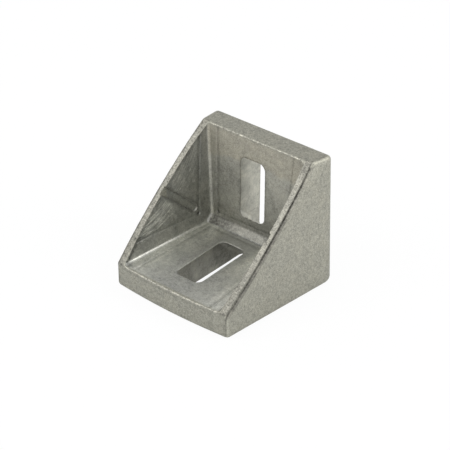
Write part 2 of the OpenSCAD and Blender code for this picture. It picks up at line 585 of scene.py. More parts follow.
@dataclass(frozen=True)
class CastMaterial:
    """The casting's material: finishes mixed by the masks stored on the mesh."""

    groups: ShaderGroups
    masks: tuple[str, ...] = (
        "pocket", "rim", "slot", "ledge", "wall", "edge", "painted_shade", "scratch", "painted_light")
    layers: tuple[tuple[str, Finish], ...] = (
        ("pocket", Finish.POCKET), ("ledge", Finish.LEDGE_SHADE), ("rim", Finish.RIM), ("slot", Finish.SLOT))
    wall_gain: Colour = (1.02, 1.0, 0.95, 1.0)
    lit_area_gain: Colour = (1.06, 1.03, 0.98, 1.0)
    lit_area_rough: float = 0.10
    painted_light_gain: Colour = (1.90, 1.90, 1.86, 1.0)
    polish: float = 0.20
    drag_gain: Colour = (2.05, 2.05, 2.02, 1.0)
    drag_share: float = 0.85
    drag_dark: float = 0.10
    drag_height: float = 0.25
    cross: DragGroup = DragGroup((0.0, -0.021, 0.052), 5.0, 1500.0, 0.52, 0.66)
    # Strengths of the edge brightening, which is wear and painted highlight, and of the painted shade.
    edge_bright: float = 0.55
    shade_strength: float = 0.75
    bump_strength: float = 0.6
    bump_distance: float = 0.00012

    def _finish(self, n: NodeTree, finish: Finish, vector: bpy.types.NodeSocket) -> bpy.types.Node:
        """Places the grain group with one finish's values.

        Args:
            n: The material's tree.
            finish: Which finish.
            vector: Pattern coordinates.

        Returns:
            The group node.
        """
        f = finish.value
        values = {"Vector": vector, "Scale": f.grain_scale, "Colour": f.colour, "Mottle": f.mottle,
                  "Roughness": f.roughness, "Height": f.grain_height, "Stain": f.stain}
        return n.add("Group", values, node_tree=self.groups.grain)

    def _drag(self, n: NodeTree, vector: bpy.types.NodeSocket) -> bpy.types.NodeSocket:
        """Places both sets of drag marks.

        Args:
            n: The material's tree.
            vector: Pattern coordinates.

        Returns:
            The socket of their strength.
        """
        c = self.cross
        crossing = {"Vector": vector, "Centre": c.centre, "Around": c.around, "Outward": c.outward,
                    "Low": c.low, "High": c.high}
        sets = [n.add("Group", values, node_tree=self.groups.drag).outputs[0]
                for values in ({"Vector": vector}, crossing)]
        return n.math("MAXIMUM", *sets)

    def build(self, name: str = "cast_aluminium") -> bpy.types.Material:
        """Makes the material.

        Args:
            name: Material name.

        Returns:
            The material.
        """
        mat = bpy.data.materials.new(name)
        mat.use_nodes = True
        n = NodeTree(mat.node_tree)
        shader = mat.node_tree.nodes["Principled BSDF"]
        shader.inputs["Metallic"].default_value = 1.0
        vector = n.add("TexCoord").outputs["Object"]
        masks = {m: n.add("Attribute", attribute_name=m).outputs["Fac"] for m in self.masks}
        colour, rough, height = self._finish(n, Finish.TUMBLED, vector).outputs[:3]
        for mask, finish in self.layers:
            layer = self._finish(n, finish, vector).outputs
            colour = n.mix(masks[mask], colour, layer["Colour"])
            rough = n.blend(masks[mask], rough, layer["Roughness"])
            height = n.blend(masks[mask], height, layer["Height"])
        # Painted light on the upper back wall: lighter and warmer above a wandering edge.
        pale = n.add("Group", {"Vector": vector}, node_tree=self.groups.pale).outputs[0]
        wall = n.times(masks["wall"], pale)
        colour = n.tint(masks["wall"], colour, self.wall_gain)
        colour = n.tint(wall, colour, self.lit_area_gain)
        rough = n.plus(rough, n.times(wall, self.lit_area_rough))
        # Painted light: highlights and lit patches lighten the colour; where the mask is partly on, the
        # surface is also smoother.
        colour = n.tint(masks["painted_light"], colour, self.painted_light_gain)
        part_lit = n.math("MINIMUM", masks["painted_light"], n.minus(1.0, masks["painted_light"]))
        rough = n.minus(rough, n.times(part_lit, self.polish))
        drag = n.times(self._drag(n, vector), masks["scratch"])
        colour = n.tint(n.times(drag, self.drag_share), colour, self.drag_gain)
        colour = n.mix(n.times(masks["scratch"], self.drag_dark), colour, BLACK)
        # Edges brightened as wear and painted highlight; shaded places darkened as painted shade.
        wear_and_shade = {"Vector": vector, "Colour": colour, "Edge": masks["edge"], "Painted Shade": masks["painted_shade"],
                "Brighten": self.edge_bright, "Darken": self.shade_strength}
        worn = n.add("Group", wear_and_shade, node_tree=self.groups.wear_and_shade).outputs["Colour"]
        height = n.plus(height, n.times(drag, self.drag_height))
        bump = {"Strength": self.bump_strength, "Distance": self.bump_distance, "Height": height}
        normal = n.add("Bump", bump).outputs[0]
        n.link(shader.inputs, {"Base Color": worn, "Roughness": rough, "Normal": normal})
        return mat


@dataclass
class MeshData:
    """Vertex places, normals and edges of one mesh, in millimetres."""

    places: np.ndarray
    normals: np.ndarray
    edges: np.ndarray

    @classmethod
    def read(cls, mesh: bpy.types.Mesh) -> MeshData:
        """Reads a mesh.

        Args:
            mesh: The mesh.

        Returns:
            Its places, normals and edges.
        """
        places, normals = np.empty((2, len(mesh.vertices) * 3), dtype=np.float32)
        mesh.vertices.foreach_get("co", places)
        mesh.vertex_normals.foreach_get("vector", normals)
        edges = np.empty(len(mesh.edges) * 2, dtype=np.int32)
        mesh.edges.foreach_get("vertices", edges)
        places, normals = (values.reshape(-1, 3).astype(float) for values in (places, normals))
        return cls(places, normals, edges.reshape(-1, 2))

    def around(self, values: np.ndarray) -> tuple[np.ndarray, np.ndarray]:
        """Adds up one value per edge at the vertices.

        Args:
            values: One value per edge.

        Returns:
            The sums and the numbers of edges.
        """
        count = len(self.places)
        total, number = np.zeros(count), np.zeros(count)
        for end in (0, 1):
            total += np.bincount(self.edges[:, end], values, count)
            number += np.bincount(self.edges[:, end], minlength=count)
        return total, number

    def spread(self, values: np.ndarray, rounds: int) -> np.ndarray:
        """Averages values with their neighbours.

        Args:
            values: One value per vertex.
            rounds: How many times.

        Returns:
            The averaged values.
        """
        for _ in range(rounds):
            total, number = values.copy(), np.ones(len(values))
            for a, b in ((0, 1), (1, 0)):
                total += np.bincount(self.edges[:, a], values[self.edges[:, b]], len(values))
                number += np.bincount(self.edges[:, a], minlength=len(values))
            values = total / number
        return values

    def bend(self, rounds: int) -> np.ndarray:
        """Curvature at each vertex, positive where the surface bulges.

        Args:
            rounds: How often it is averaged.

        Returns:
            Curvatures, one over millimetres.
        """
        along = self.places[self.edges[:, 1]] - self.places[self.edges[:, 0]]
        turn = self.normals[self.edges[:, 1]] - self.normals[self.edges[:, 0]]
        bend = (turn * along).sum(1) / np.maximum((along ** 2).sum(1), TINY)
        total, number = self.around(bend)
        return self.spread(total / np.maximum(number, 1), rounds)


@dataclass(frozen=True)
class RegionLimits:
    """How near to a face or an edge a vertex still counts as part of a region, in millimetres."""

    skin: float = 0.12
    face_reach: float = 0.3
    gusset_reach: float = 0.45
    slot_depth: float = 1.0
    slot_front: float = 2.0
    slot_back: float = 12.0
    slot_end: float = 3.0
    rim_reach: float = 0.2
    rim_facing: float = 0.75
    strip_reach: float = 0.1
    ledge_start: float = 0.03
    ledge_top: float = 0.04
    ledge_foot: float = 0.98
    ledge_reach: float = 0.4
    ledge_end: float = 1.1
    flat: float = 0.9


@dataclass
class Surface:
    """The casting's surface: distances and regions that its finishes and marks follow, in millimetres."""

    data: MeshData
    sizes: BracketSizes
    limits: RegionLimits = RegionLimits()

    def __post_init__(self) -> None:
        """Works out the distances and the regions."""
        data, sizes = self.data, self.sizes
        self.x, self.y, self.z = data.places.T
        self.side = np.abs(self.x)
        self.across, self.along, self.up = np.abs(data.normals).T
        self.to_front, self.to_top = -data.normals[:, 1], data.normals[:, 2]
        self.below = sizes.below_rim(self.y, self.z)
        self.share = sizes.along_rim(self.y, self.z)
        self.past_inner = self.side - sizes.inner_half(self.y, self.z)
        self.past_strip = self.side - sizes.strip_half(self.y, self.z)
        self.over_floor = self.z - sizes.floor_z(self.y)
        self.before_wall = sizes.wall_y(self.z) - self.y
        self.over_face = self.y - sizes.face_y
        self.under_top = sizes.height - self.z
        self._slots()
        self._rims()
        self._pocket()

    def _slots(self) -> None:
        """Finds the walls of the two slots."""
        s, m = self.sizes, self.limits
        opening = (self.side < s.slot_half + m.skin) & (self.below > m.slot_depth)
        in_leg = (self.z > m.face_reach) & (self.over_floor < -m.skin)
        in_leg &= (self.y < s.back_y - m.slot_back) & (self.over_face > m.slot_front)
        in_back = (self.before_wall < -m.skin) & (self.y < s.back_y - m.face_reach)
        in_back &= (self.under_top > m.slot_end) & (self.z > m.slot_end)
        self.leg_slot, self.back_slot = opening & in_leg, opening & in_back
        self.slot = self.leg_slot | self.back_slot

    def _rims(self) -> None:
        """Finds the raised strips of the rims and the ledges beside them."""
        s, m = self.sizes, self.limits
        facing = self.data.normals @ np.array([0.0, -s.rim_slope[1], s.rim_slope[0]])
        past_lip = self.over_face > -m.rim_reach
        self.strip = (facing > m.rim_facing) & (np.abs(self.below) < m.rim_reach) & past_lip
        self.strip &= (self.past_inner > -m.strip_reach) & (self.y < s.rim_high[0] + m.rim_reach)
        self.ledge = (self.past_strip > -m.ledge_start) & (self.past_strip < s.ledge_width + m.ledge_reach)
        self.ledge &= (self.below > m.ledge_top) & (self.below < m.ledge_foot) & past_lip
        self.ledge &= self.under_top > m.ledge_end

    def _pocket(self) -> None:
        """Finds the pocket and its flat faces."""
        m = self.limits
        inside = (self.below > m.skin) & (self.past_inner < m.gusset_reach)
        inside &= (self.over_floor > -m.face_reach) & (self.before_wall > -m.face_reach)
        self.pocket = inside & ~self.slot & ~self.ledge
        self.floor = self.pocket & (self.to_top > m.flat)
        self.wall = self.pocket & (self.to_front > m.flat)
        self.gusset = self.pocket & (self.across > m.flat)


@dataclass(frozen=True)
class BorderLines:
    """Where the borders of the pocket's faces lie, read from the photograph, in millimetres."""

    root_x: float = 11.45
    spread: float = 0.055
    band: float = 1.3
    wall_z: float = 11.3
    floor_y: float = 8.6
    gusset_z: float = 11.7
    gusset_foot_y: float = 7.4
    gusset_lean: float = 0.133
    reach: float = 0.3
    sway: float = 0.25
    sway_rate: float = 0.31
    sway_start: float = 0.9
    line: Line = Line(0.55)
    pit: Line = Line(0.45)

    def wall_x(self, s: Surface) -> np.ndarray:
        """Half width between the back leg's side borders at each vertex's height."""
        return self.root_x + self.spread * (s.z - s.sizes.root_z - self.band)

    def floor_x(self, s: Surface) -> np.ndarray:
        """Half width between the floor's side borders at each vertex's depth."""
        root_y = s.sizes.wall_y(np.array(s.sizes.root_z)) - self.band
        return self.root_x + self.spread * (root_y - s.y)

    def gusset_y(self, s: Surface) -> np.ndarray:
        """Depth of the gussets' back borders at each vertex's height."""
        return self.gusset_foot_y + self.gusset_lean * (s.z - self.gusset_z)

    def on(self, s: Surface) -> tuple[np.ndarray, np.ndarray]:
        """Grooves along the borders, and the pits where they meet.

        Args:
            s: The surface.

        Returns:
            Strength of grooves and pits at each vertex.
        """
        floor_a, floor_b = s.side - self.floor_x(s), s.y - self.floor_y
        wall_a, wall_b = s.side - self.wall_x(s), s.z - self.wall_z
        gusset_a, gusset_b = s.y - self.gusset_y(s), s.z - self.gusset_z
        sway = self.sway * np.sin(self.sway_rate * (s.y - s.z) + self.sway_start)
        faces = ((s.floor, floor_a, floor_b, floor_b < self.reach, False),
                 (s.wall, wall_a, wall_b, wall_b > -self.reach, True),
                 (s.gusset, gusset_a, gusset_b - sway, gusset_b > -self.reach, True))
        groove, pit = np.zeros(len(s.x)), np.zeros(len(s.x))
        for face, a, b, inside, has_pit in faces:
            line = np.maximum(self.line(a), self.line(b)) * (face & inside & (a < self.reach))
            groove = np.maximum(groove, line)
            if has_pit:
                pit = np.maximum(pit, self.pit(np.hypot(a, b)) * face)
        return groove, pit


@dataclass(frozen=True)
class PaintedLight:
    """Painted light: highlights on the fillets and outside edges, and lighter lit patches on the floor beside
    the gussets, the slot walls, the gussets and the ledges.
    """

    low_fillet: Fade = Fade(0.72, 0.97, 0.475)
    tall_fillet: Fade = Fade(0.86, 0.99, 0.175)
    fillet_reach: float = 1.3
    margin: Fade = Fade(4.5, 11.5, 0.25)
    outer_margin: float = 0.55
    leg_slot: float = 0.075
    back_slot: float = 0.10
    panel: float = 0.09
    low_panel: Fade = Fade(22.0, 17.0, 0.16)
    edge_side: float = 17.0
    top_edge: Fade = Fade(0.80, 0.98, 0.225)
    top_reach: float = 1.0
    top_inset: float = 0.3
    front_edge: Fade = Fade(0.80, 0.98, 0.25)
    front_rise: float = 0.5
    front_reach: float = 1.5
    root_side: Fade = Fade(4.5, 9.0)
    root_floor: Fade = Fade(-9.0, -1.0, 0.80)
    behind_border: Fade = Fade(24.0, 13.0, 0.35)
    behind_reach: float = 0.5
    upper_ledge: Fade = Fade(0.55, 0.80, 0.55)
    ledge_inset: float = 0.2
    ledge_from: float = 0.3
    ledge_to: float = 0.85

    def on(self, s: Surface, lines: BorderLines) -> np.ndarray:
        """Strength at each vertex.

        Args:
            s: The surface.
            lines: The borders of the pocket's faces.

        Returns:
            Values from 0 to 1.
        """
        flank, corner = 2 * s.across * s.up, 2 * s.across * s.along
        outside = s.side > self.edge_side
        top = outside & (s.under_top < self.top_reach) & (s.y > s.sizes.rim_high[0] + self.top_inset)
        front = outside & (s.z < s.sizes.lip_height + self.front_rise) & (s.over_face < self.front_reach)
        ledge = (s.past_strip > self.ledge_inset) & (s.below > self.ledge_from) & (s.below < self.ledge_to)
        return np.maximum.reduce([
            s.pocket * (s.over_floor < self.fillet_reach) * self.low_fillet(flank),
            s.pocket * (s.before_wall < self.fillet_reach) * self.tall_fillet(corner),
            s.floor * np.maximum(self.margin(s.side), self.outer_margin * (s.side > lines.root_x)),
            s.leg_slot * self.leg_slot + s.back_slot * self.back_slot,
            s.gusset * (s.y < lines.gusset_foot_y) * (self.panel + self.low_panel(s.z)),
            top * self.top_edge(flank),
            front * self.front_edge(corner),
            s.floor * self.root_side(s.side) * self.root_floor(s.y),
            s.gusset * (s.y > lines.gusset_foot_y - self.behind_reach) * self.behind_border(s.z),
            ledge * (s.under_top > s.limits.ledge_end) * self.upper_ledge(s.share)])


@dataclass(frozen=True)
class DragMarks:
    """Where the gussets carry drag marks: strong under the channel, weaker over it, none past the borders."""

    channel_middle: float = 18.3
    channel_clear: Fade = Fade(1.2, 1.7)
    over_channel: float = 0.5
    from_border: Fade = Fade(0.2, 1.2)
    from_foot: Fade = Fade(0.0, 1.0)
    deep: Fade = Fade(4.05, 9.0)

    def on(self, s: Surface, lines: BorderLines) -> np.ndarray:
        """Strength at each vertex.

        Args:
            s: The surface.
            lines: The borders of the pocket's faces.

        Returns:
            Values from 0 to 1.
        """
        inside = self.from_border(lines.gusset_y(s) - s.y) * self.from_foot(s.z - lines.gusset_z)
        past_channel = s.sizes.rim_slope @ np.array([s.y, s.z - self.channel_middle])
        inside = inside * (1.0 - self.deep(s.below)) * self.channel_clear(np.abs(past_channel))
        return s.gusset * inside * np.where(past_channel > 0, self.over_channel, 1.0)


@dataclass(frozen=True)
class RimShade:
    """Darker places along the rims: under the burr, at the strips' ends and on both sides of the ledges."""

    burr: float = 0.35
    burr_depth: Fade = Fade(1.5, 0.55)
    burr_middle: Fade = Fade(24.0, 18.0, 0.25)
    burr_foot: Fade = Fade(15.0, 9.5, 0.25)
    burr_facing: float = 0.6
    strip_depth: float = 0.25
    strip_end: float = 0.3
    strip_low: Fade = Fade(0.5, 0.1, 0.30)
    strip_high: Fade = Fade(0.87, 0.94, 0.32)
    step_middle: float = 0.06
    step_half: float = 0.11
    step_from: float = 0.08
    step_to: float = 0.85
    step_shade: float = 0.85
    foot: Line = Line(0.12, 0.35)
    foot_gap: float = 0.05
    foot_from: float = 0.3
    foot_to: float = 0.95

    def on(self, s: Surface) -> np.ndarray:
        """Strength at each vertex.

        Args:
            s: The surface.

        Returns:
            Values from 0 to 1.
        """
        burr = (self.burr + self.burr_middle(s.z) + self.burr_foot(s.z)) * self.burr_depth(s.below)
        strip = (np.abs(s.below) < self.strip_depth) & (s.past_inner > -s.limits.strip_reach)
        strip &= s.under_top > self.strip_end
        step = (np.abs(s.past_strip - self.step_middle) < self.step_half) & ~s.pocket
        step &= (s.below > self.step_from) & (s.below < self.step_to) & (s.under_top > s.limits.ledge_end)
        foot = (s.below > self.foot_from) & (s.below < self.foot_to) & ~s.pocket
        return np.maximum.reduce([
            s.pocket * (s.across > self.burr_facing) * burr,
            strip * np.maximum(self.strip_low(s.share), self.strip_high(s.share)),
            step * self.step_shade,
            foot * self.foot(s.past_strip - s.sizes.ledge_width - self.foot_gap)])


@dataclass(frozen=True)
class PocketShade:
    """Darker places in the pocket: the root's band, under and around the back slot, and the lip's ends."""

    band: float = 0.62
    band_sides: Fade = Fade(2.0, 13.0, 0.22)
    band_facing: Fade = Fade(0.80, 0.95)
    band_top: float = 12.0
    over_band: Fade = Fade(8.8, 9.2, 0.36)
    under_slot: Fade = Fade(16.5, 13.0)
    over_side: float = 12.8
    over_facing: float = 0.3
    ring: Line = Line(0.22, 0.65)
    ring_gap: float = 0.12
    ring_reach: float = 0.4
    spot_place: Vec = (16.8, -19.3, 8.2)
    spot: Line = Line(1.7)
    left_spot: float = 0.9
    right_spot: float = 0.55
    end_depth: Fade = Fade(-9.0, -14.0, 0.30)
    end_side: Fade = Fade(14.5, 15.8)
    end_rise: float = 0.5
    front_floor: Fade = Fade(7.0, 1.0, 0.11)
    wall_margin: float = 0.10

    def on(self, s: Surface, lines: BorderLines, slot: SlotEdges) -> np.ndarray:
        """Strength at each vertex.

        Args:
            s: The surface.
            lines: The borders of the pocket's faces.
            slot: The slots' edges.

        Returns:
            Values from 0 to 1.
        """
        band = self.band_facing((s.to_front + s.to_top) / math.sqrt(2)) * (s.z < self.band_top)
        over = self.over_band(s.z) * self.under_slot(s.z) * (s.to_front > self.over_facing)
        near_slot = self.ring(slot.outside(s) - self.ring_gap) * (s.before_wall < self.ring_reach)
        away = np.sqrt(sum((a - b) ** 2 for a, b in zip((s.side, s.y, s.z), self.spot_place)))
        spot = self.spot(away) * np.where(s.x < 0, self.left_spot, self.right_spot)
        end = self.end_depth(s.y) * self.end_side(s.side) * (s.over_floor > self.end_rise)
        return s.pocket * np.maximum.reduce([
            band * (self.band + self.band_sides(s.side)),
            over * (s.side < self.over_side),
            near_slot, spot, end,
            s.floor * self.front_floor(s.y),
            s.wall * (s.side > lines.wall_x(s)) * self.wall_margin])


@dataclass(frozen=True)
class OutsideShade:
    """Darker places outside the pocket: the front corners, under the flash, the top and the base slot."""

    facing: float = 0.8
    corner_x: float = 18.85
    corner: Line = Line(0.45, 0.50)
    corner_drop: float = 0.8
    corner_foot: float = 0.6
    under_flash_z: float = 6.35
    under_flash: Line = Line(0.22, 0.30)
    under_side: float = 18.5
    under_reach: float = 0.5
    top: float = 0.20
    top_reach: float = 1.5
    well: float = 0.24
    well_rise: float = 0.05
    well_least: float = 0.18
    well_most: float = 0.5
    well_front: Fade = Fade(-5.0, -9.0, 0.12)

    def on(self, s: Surface) -> np.ndarray:
        """Strength at each vertex.

        Args:
            s: The surface.

        Returns:
            Values from 0 to 1.
        """
        front = s.to_front > self.facing
        corner = front & (s.z < s.sizes.lip_height - self.corner_drop) & (s.z > self.corner_foot)
        under = front & (s.side < self.under_side) & (s.over_face < self.under_reach)
        top = (s.to_top > s.limits.flat) & (s.under_top < self.top_reach) & ~s.pocket
        well = np.clip(self.well + self.well_rise * s.y, self.well_least, self.well_most)
        well = well + self.well_front(s.y)
        return np.maximum.reduce([
            corner * self.corner(s.side - self.corner_x),
            under * self.under_flash(s.z - self.under_flash_z),
            top * self.top,
            s.leg_slot * well])


@dataclass(frozen=True)
class SlotEdges:
    """The slots' edges where the photograph shows them, in millimetres."""

    swell: float = 0.08
    back_swell: float = 0.3
    lean: float = 0.45
    middle_z: float = 22.0
    half_length: float = 8.7
    radius: float = 1.8
    near: Fade = Fade(6.5, 5.0)
    closing: Fade = Fade(2.5, 3.6)
    face_reach: float = 0.4
    leg_front: float = 3.0
    back_foot: float = 12.0

    def outside(self, s: Surface) -> np.ndarray:
        """Distance outside the back slot's rounded outline.

        Args:
            s: The surface.

        Returns:
            Distance at each vertex, less than 0 inside.
        """
        reach = np.maximum(s.side - s.sizes.slot_half + self.radius, 0)
        rise = np.maximum(np.abs(s.z - self.middle_z) - self.half_length + self.radius, 0)
        return np.hypot(reach, rise) - self.radius

    def shift(self, s: Surface) -> np.ndarray:
        """Sideways shift that brings the edges to their places.

        Args:
            s: The surface.

        Returns:
            Shift along X at each vertex.
        """
        back_y = s.sizes.back_y
        in_leg = (s.over_floor < self.face_reach) & (s.over_face > self.leg_front)
        in_leg &= s.y < back_y - s.limits.slot_back
        in_back = (s.before_wall < self.face_reach) & (s.z > self.back_foot)
        in_back &= s.under_top > s.limits.slot_end
        share = np.clip((back_y - s.y) / (back_y - s.sizes.wall_y(s.z)), 0, 1)
        lean = self.lean * (self.middle_z - s.z) / self.half_length * share
        close = -np.sign(s.x) * self.closing(s.side) * self.swell
        return self.near(s.side) * (in_leg * close + in_back * (lean + self.back_swell * close))


@dataclass(frozen=True)
class SurfaceMasks:
    """Works out where each finish, edge and mark lies on the casting, and where light and shade are painted.
    """

    surface: Surface
    lines: BorderLines = BorderLines()
    slots: SlotEdges = SlotEdges()
    soften: int = 2
    bend_rounds: int = 3
    edge_bend: Fade = Fade(0.35, 2.2)
    calm_edge: float = 0.2
    rim_calm: float = 1.2
    rim_inset: float = 0.4
    rim_from: float = 0.3
    slot_calm: float = 0.8
    gusset_facing: float = 0.4
    wall_facing: float = 0.6
    # Curvature ranges of the painted shade in hollows and along the channels' edges.
    hollow_bend: Fade = Fade(0.5, 2.5)
    channel_bend: Fade = Fade(0.25, 0.9, 0.55)
    channel_clear: float = 1.6
    channel_depth: float = 0.9
    groove_depth: float = 0.045
    groove_shade: float = 0.26
    pit_depth: float = 0.24

    def _edges(self, bend: np.ndarray) -> np.ndarray:
        """Edges that the material brightens as wear and painted highlight, calmer at the rims, the slots and
        the channels.

        Args:
            bend: Curvature at each vertex.

        Returns:
            Strength at each vertex.
        """
        s = self.surface
        near_rim = (np.abs(s.below) < self.rim_calm) & (s.over_face > self.rim_from)
        near_rim &= s.past_inner > -self.rim_inset
        at_slot = (np.abs(s.side - s.sizes.slot_half) < self.slot_calm) & (s.below > s.limits.slot_depth)
        at_slot &= s.under_top > s.limits.slot_end
        on_gusset = s.pocket & (s.across > self.gusset_facing)
        return self.edge_bend(bend) * np.where(near_rim | at_slot | on_gusset, self.calm_edge, 1.0)

    def _dark(self, bend: np.ndarray, in_pocket: np.ndarray) -> np.ndarray:
        """Painted shade in hollows outside the pocket, along the channels' edges and at every shaded place.

        Args:
            bend: Curvature at each vertex.
            in_pocket: The softened pocket mask.

        Returns:
            Strength at each vertex.
        """
        s = self.surface
        channel = s.pocket & (s.across > self.gusset_facing) & (s.below > self.channel_depth)
        channel &= (s.over_floor > self.channel_clear) & (s.before_wall > self.channel_clear)
        return np.maximum.reduce([
            self.hollow_bend(-bend) * (1 - in_pocket), self.channel_bend(np.abs(bend)) * channel,
            RimShade().on(s), PocketShade().on(s, self.lines, self.slots), OutsideShade().on(s)])

    def masks(self) -> dict[str, np.ndarray]:
        """Works out every mask.

        Returns:
            One value per vertex for each mask.
        """
        s, spread = self.surface, self.surface.data.spread
        bend = s.data.bend(self.bend_rounds)
        regions = {"pocket": s.pocket, "rim": s.strip, "slot": s.slot, "ledge": s.ledge,
                   "wall": s.pocket & (s.to_front > self.wall_facing)}
        made = {name: spread(region.astype(float), self.soften) for name, region in regions.items()}
        made["edge"] = self._edges(bend)
        # Painted light: fillet and edge highlights and lit patches.
        made["painted_light"] = spread(PaintedLight().on(s, self.lines), self.soften)
        made["scratch"] = DragMarks().on(s, self.lines)
        groove, pit = self.lines.on(s)
        # Painted shade: hollows, channel edges, rims, pocket and outside, and the border grooves and pits.
        dark = spread(self._dark(bend, made["pocket"]), self.soften)
        made["painted_shade"] = np.clip(dark + self.groove_shade * groove + pit, 0, 1)
        return made

    def places(self) -> np.ndarray:
        """Presses the grooves and pits in and shifts the slots' edges.

        Returns:
            Place of each vertex.
        """
        s = self.surface
        groove, pit = self.lines.on(s)
        places = s.data.places - s.data.normals * (self.groove_depth * groove + self.pit_depth * pit)[:, None]
        places[:, 0] += self.slots.shift(s)
        return places


class WorkTree:
    """Start and end that both Geometry Nodes trees share."""

    name: str
    inputs: dict[str, tuple[str, float]]

    def start(self) -> tuple[NodeTree, bpy.types.NodeOutputs, bpy.types.NodeInputs]:
        """Starts the tree with its geometry, its named sizes and its material.

        Returns:
            The tree's helper, the sockets that values come from and those that results go to.
        """
        inputs = {"Geometry": ("Geometry", None), **self.inputs, "Material": ("Material", None)}
        return new_group("GeometryNodeTree", self.name, inputs, {"Geometry": "Geometry"})

    def end(self, n: NodeTree, inp: bpy.types.NodeOutputs, out: bpy.types.NodeInputs,
            geometry: bpy.types.NodeSocket) -> bpy.types.NodeTree:
        """Ends the tree with real geometry in its material.

        Args:
            n: The tree's helper.
            inp: The sockets that values come from.
            out: The sockets that results go to.
            geometry: The geometry's socket.

        Returns:
            The tree.
        """
        real = n.add("GeometryNodeRealizeInstances", {"Geometry": geometry})
        dressed = n.add("GeometryNodeSetMaterial", {"Geometry": real.outputs[0], "Material": inp["Material"]})
        n.link(out, {"Geometry": dressed.outputs[0]})
        return n.tree


class SkinTree(WorkTree):
    """Geometry Nodes tree that gives a casting its tumbled, uneven skin."""

    name: str = "tumbled_skin"
    inputs: dict[str, tuple[str, float]] = {
        "Wave Height": ("Float", 0.045), "Wave Size": ("Float", 7.0), "Dent Height": ("Float", 0.030),
        "Dent Size": ("Float", 1.5), "Edge Height": ("Float", 0.16), "Edge Size": ("Float", 0.55),
        "Pocket Share": ("Float", 0.35), "Seed": ("Int", 11)}
    layers: tuple[str, ...] = ("Wave", "Dent", "Edge")
    level: float = 0.62
    rim_share: float = 0.8

    def build(self) -> bpy.types.NodeTree:
        """Builds the tree with named inputs for its sizes.

        Returns:
            The tree.
        """
        n, inp, out = self.start()
        place = n.add("GeometryNodeInputPosition").outputs[0]
        heights = []
        for layer in self.layers:
            scale = n.math("DIVIDE", 1.0, inp[layer + " Size"])
            noise = n.noise(place, scale, detail=2.0, W=inp["Seed"]).outputs[0]
            heights.append(n.times(n.minus(noise, self.level), inp[layer + " Height"]))
        worn = n.math("MAXIMUM", self._mask(n, "edge"), n.times(self._mask(n, "rim"), self.rim_share))
        total = n.plus(n.plus(heights[0], heights[1]), n.times(heights[2], worn))
        calm = n.math("MAXIMUM", self._mask(n, "pocket"), self._mask(n, "slot"))
        total = n.times(total, n.blend(calm, 1.0, inp["Pocket Share"]))
        offset = n.scaled(n.add("GeometryNodeInputNormal").outputs[0], total)
        moved = n.add("GeometryNodeSetPosition", {"Geometry": inp["Geometry"], "Offset": offset})
        return self.end(n, inp, out, moved.outputs[0])

    @staticmethod
    def _mask(n: NodeTree, name: str) -> bpy.types.NodeSocket:
        """Reads one stored mask."""
        node = n.add("GeometryNodeInputNamedAttribute", {"Name": name}, data_type="FLOAT")
        return node.outputs["Attribute"]


class FlashTree(WorkTree):
    """Geometry Nodes tree that runs an uneven bead of flash along an edge."""

    name: str = "flash_bead"
    inputs: dict[str, tuple[str, float]] = {
        "Radius": ("Float", 0.17), "Unevenness": ("Float", 1.4), "Lump Size": ("Float", 1.0),
        "Step": ("Float", 0.12), "Wander": ("Float", 0.20), "Seed": ("Int", 5)}
    swing: float = 4.0
    thinnest: float = 0.12
    sides: int = 8

    def build(self) -> bpy.types.NodeTree:
        """Builds the tree with named inputs for its sizes.

        Returns:
            The tree.
        """
        n, inp, out = self.start()
        line = n.add("GeometryNodeMeshToCurve", {"Mesh": inp["Geometry"]}).outputs[0]
        stepped = {"Curve": line, "Length": inp["Step"]}
        even = n.add("GeometryNodeResampleCurve", stepped, mode="LENGTH").outputs[0]
        place = n.add("GeometryNodeInputPosition").outputs[0]
        scale = n.math("DIVIDE", 1.0, inp["Lump Size"])
        noise = n.noise(place, scale, detail=3.0, W=inp["Seed"], Roughness=0.7).outputs
        swing = n.times(n.minus(noise[0], NOISE_MIDDLE), self.swing)
        uneven = n.math("MAXIMUM", n.plus(1.0, n.times(swing, inp["Unevenness"])), self.thinnest)
        wander = n.scaled(n.away(noise["Color"], (NOISE_MIDDLE,) * 3), inp["Wander"])
        moved = n.add("GeometryNodeSetPosition", {"Geometry": even, "Offset": wander}).outputs[0]
        radius = {"Curve": moved, "Radius": n.times(inp["Radius"], uneven)}
        sized = n.add("GeometryNodeSetCurveRadius", radius).outputs[0]
        ring = n.add("GeometryNodeCurvePrimitiveCircle", {"Resolution": self.sides, "Radius": 1.0}).outputs[0]
        reach = n.add("GeometryNodeInputRadius").outputs[0]
        bead = {"Curve": sized, "Profile Curve": ring, "Scale": reach, "Fill Caps": True}
        return self.end(n, inp, out, n.add("GeometryNodeCurveToMesh", bead).outputs[0])


